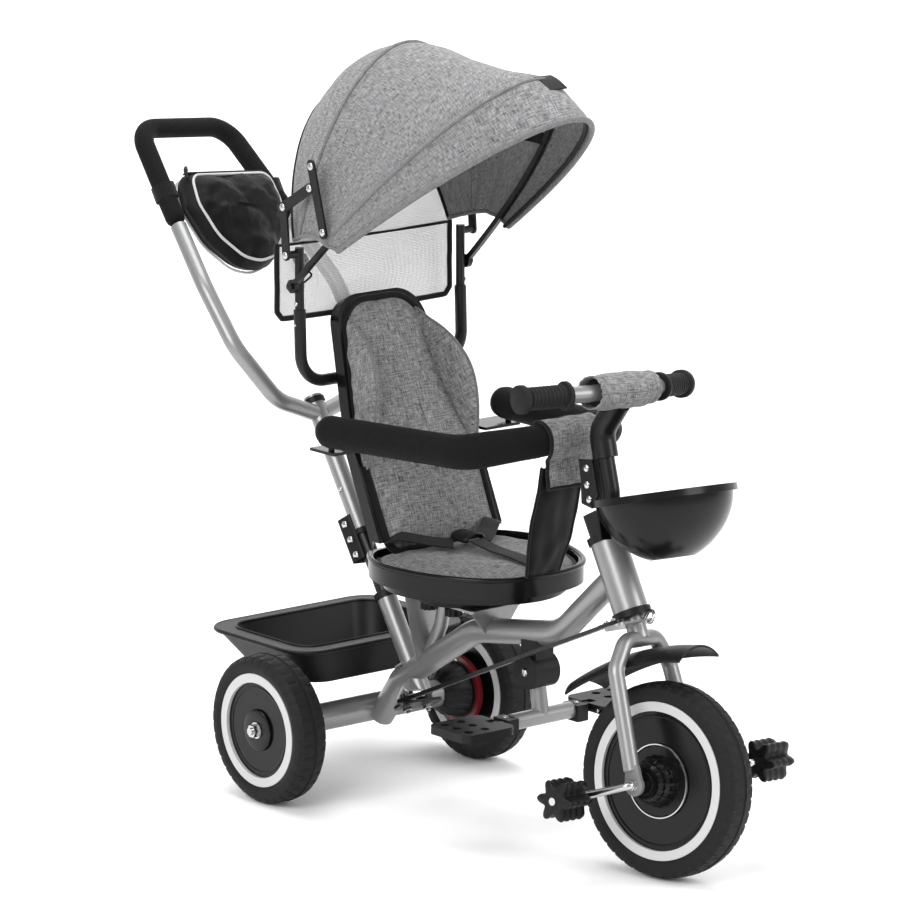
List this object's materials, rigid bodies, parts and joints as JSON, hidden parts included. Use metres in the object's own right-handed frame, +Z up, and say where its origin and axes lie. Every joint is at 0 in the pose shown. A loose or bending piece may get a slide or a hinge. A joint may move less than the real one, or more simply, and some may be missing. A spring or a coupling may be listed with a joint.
{
  "type": "children's tricycle",
  "caption": "Children's tricycle with a linked parent handle, swivelling padded seat, guard ring, folding canopy, front basket and rear tray.",
  "frame": {"origin": "on the floor under the middle of the tricycle's length and width", "axes": "+X forward, towards the front wheel; +Y to the rider's left; +Z up"},
  "size_m": [1.1472, 0.422, 1.0189],
  "materials": {
    "silver_metal": "fine silver powder coat, satin",
    "black_metal": "black powder coat, satin",
    "black_plastic": "moulded, fine grain",
    "gloss_black": "moulded, semi gloss",
    "rim_ring": "off-white satin plastic",
    "tyre_black": "moulded foam tyre with a shallow tread",
    "foam_rubber": "textured foam sleeve",
    "heather_fabric": "heather grey woven linen look",
    "black_nylon": "smooth black nylon",
    "mesh_fabric": "fine off-white net",
    "red_plastic": "dark red moulded",
    "chrome_hardware": "bright zinc and chrome hardware"
  },
  "bodies": {
    "frame": {"main_tube": "silver_metal", "axle_tube": "silver_metal", "hub_cups": "black_plastic", "brake_drums": "black_plastic", "rear_axle": "chrome_hardware", "head_tube": "silver_metal", "head_caps": "black_plastic", "handle_socket": "silver_metal", "seat_brackets": "silver_metal", "seat_knobs": "black_plastic", "rear_tray": "black_plastic", "footrest_clamp": "black_plastic", "footrest_stem": "silver_metal", "plate_hinges": "black_plastic", "swivel_base": "black_plastic"},
    "rear_wheel_left": {"rear_tyre_left": "tyre_black", "rear_rim_left": "rim_ring", "rear_disc_left": "gloss_black"},
    "rear_wheel_right": {"rear_tyre_right": "tyre_black", "rear_rim_right": "rim_ring", "rear_disc_right": "gloss_black"},
    "steering": {"fork": "silver_metal", "mudguard": "black_plastic", "steering_arm": "silver_metal", "stem": "black_metal", "latch_plates": "black_metal", "handlebar": "silver_metal", "grips": "foam_rubber", "bar_sleeve": "heather_fabric", "basket": "gloss_black"},
    "front_wheel": {"front_tyre": "tyre_black", "front_rim": "rim_ring", "front_disc": "gloss_black", "crank_axle": "chrome_hardware"},
    "pedal_left": {"pedal_left": "black_plastic"},
    "pedal_right": {"pedal_right": "black_plastic"},
    "push_handle": {"handle_post": "black_metal", "handle_tube": "silver_metal", "handle_latch": "black_plastic", "handle_arms": "silver_metal", "foam_loop": "foam_rubber", "bag": "black_nylon", "lever_plate": "black_metal"},
    "steering_rod": {"steering_rod": "black_metal"},
    "foot_plate_left": {"foot_plate_left": "black_plastic"},
    "foot_plate_right": {"foot_plate_right": "black_plastic"},
    "brake_pedal_left": {"brake_pedal_left": "red_plastic"},
    "brake_pedal_right": {"brake_pedal_right": "red_plastic"},
    "seat": {"swivel_latch": "red_plastic", "seat_shell": "gloss_black", "seat_cushion": "heather_fabric", "back_cushion": "heather_fabric", "hood_rear": "heather_fabric", "canopy_frame": "black_metal", "canopy_mesh": "mesh_fabric"},
    "guard_left": {"guard_left": "foam_rubber"},
    "guard_right": {"guard_right": "foam_rubber", "guard_flap": "heather_fabric"},
    "canopy_front": {"hood_front": "heather_fabric", "canopy_hoop": "black_metal"}
  },
  "joints": [
    {"name": "rear_wheel_left_spin", "type": "hinge", "parent": "frame", "child": "rear_wheel_left", "pos_m": [-0.148, 0.178, 0.1], "axis": [0, 1, 0], "continuous": true},
    {"name": "rear_wheel_right_spin", "type": "hinge", "parent": "frame", "child": "rear_wheel_right", "pos_m": [-0.148, -0.178, 0.1], "axis": [0, 1, 0], "continuous": true},
    {"name": "steering_turn", "type": "hinge", "parent": "frame", "child": "steering", "pos_m": [0.372, 0, 0.329], "axis": [-0.4772, 0, 0.8788], "range_deg": [-36, 14]},
    {"name": "front_wheel_spin", "type": "hinge", "parent": "steering", "child": "front_wheel", "pos_m": [0.44948, -0.00566, 0.12526], "axis": [-0.1677, 0.9816, -0.091], "continuous": true},
    {"name": "pedal_left_spin", "type": "hinge", "parent": "front_wheel", "child": "pedal_left", "pos_m": [0.49062, 0.12872, 0.13639], "axis": [-0.1677, 0.9816, -0.091], "continuous": true},
    {"name": "pedal_right_spin", "type": "hinge", "parent": "front_wheel", "child": "pedal_right", "pos_m": [0.40834, -0.14004, 0.11413], "axis": [-0.1677, 0.9816, -0.091], "continuous": true},
    {"name": "push_handle_turn", "type": "hinge", "parent": "frame", "child": "push_handle", "pos_m": [-0.124, 0, 0.262], "axis": [-0.5373, 0, 0.8434], "range_deg": [-36, 14]},
    {"name": "steering_rod_turn", "type": "hinge", "parent": "steering", "child": "steering_rod", "pos_m": [0.38582, -0.03927, 0.31955], "axis": [-0.4772, 0, 0.8788], "range_deg": [-14, 36]},
    {"name": "foot_plate_left_fold", "type": "hinge", "parent": "frame", "child": "foot_plate_left", "pos_m": [0.197, 0.076, 0.156], "axis": [1, 0, 0], "range_deg": [0, 80]},
    {"name": "foot_plate_right_fold", "type": "hinge", "parent": "frame", "child": "foot_plate_right", "pos_m": [0.197, -0.076, 0.156], "axis": [1, 0, 0], "range_deg": [-80, 0]},
    {"name": "brake_pedal_left_press", "type": "hinge", "parent": "frame", "child": "brake_pedal_left", "pos_m": [-0.148, 0.147, 0.1], "axis": [0, 1, 0], "range_deg": [-20, 0]},
    {"name": "brake_pedal_right_press", "type": "hinge", "parent": "frame", "child": "brake_pedal_right", "pos_m": [-0.148, -0.147, 0.1], "axis": [0, 1, 0], "range_deg": [-20, 0]},
    {"name": "seat_swivel", "type": "hinge", "parent": "frame", "child": "seat", "pos_m": [0.038, 0, 0.284], "axis": [0, 0, 1], "range_deg": [0, 180]},
    {"name": "guard_right_open", "type": "hinge", "parent": "seat", "child": "guard_right", "pos_m": [-0.048, -0.15, 0.511], "axis": [0, 0, 1], "range_deg": [-70, 0]},
    {"name": "guard_left_open", "type": "hinge", "parent": "seat", "child": "guard_left", "pos_m": [-0.048, 0.15, 0.511], "axis": [0, 0, 1], "range_deg": [0, 70]},
    {"name": "canopy_fold", "type": "hinge", "parent": "seat", "child": "canopy_front", "pos_m": [-0.131, 0, 0.692], "axis": [0, 1, 0], "range_deg": [-32, 0]}
  ],
  "couplings": [
    {"joint": "push_handle_turn", "follows": "steering_turn", "ratio": 1},
    {"joint": "steering_rod_turn", "follows": "steering_turn", "ratio": -1},
    {"joint": "guard_left_open", "follows": "guard_right_open", "ratio": -1}
  ]
}
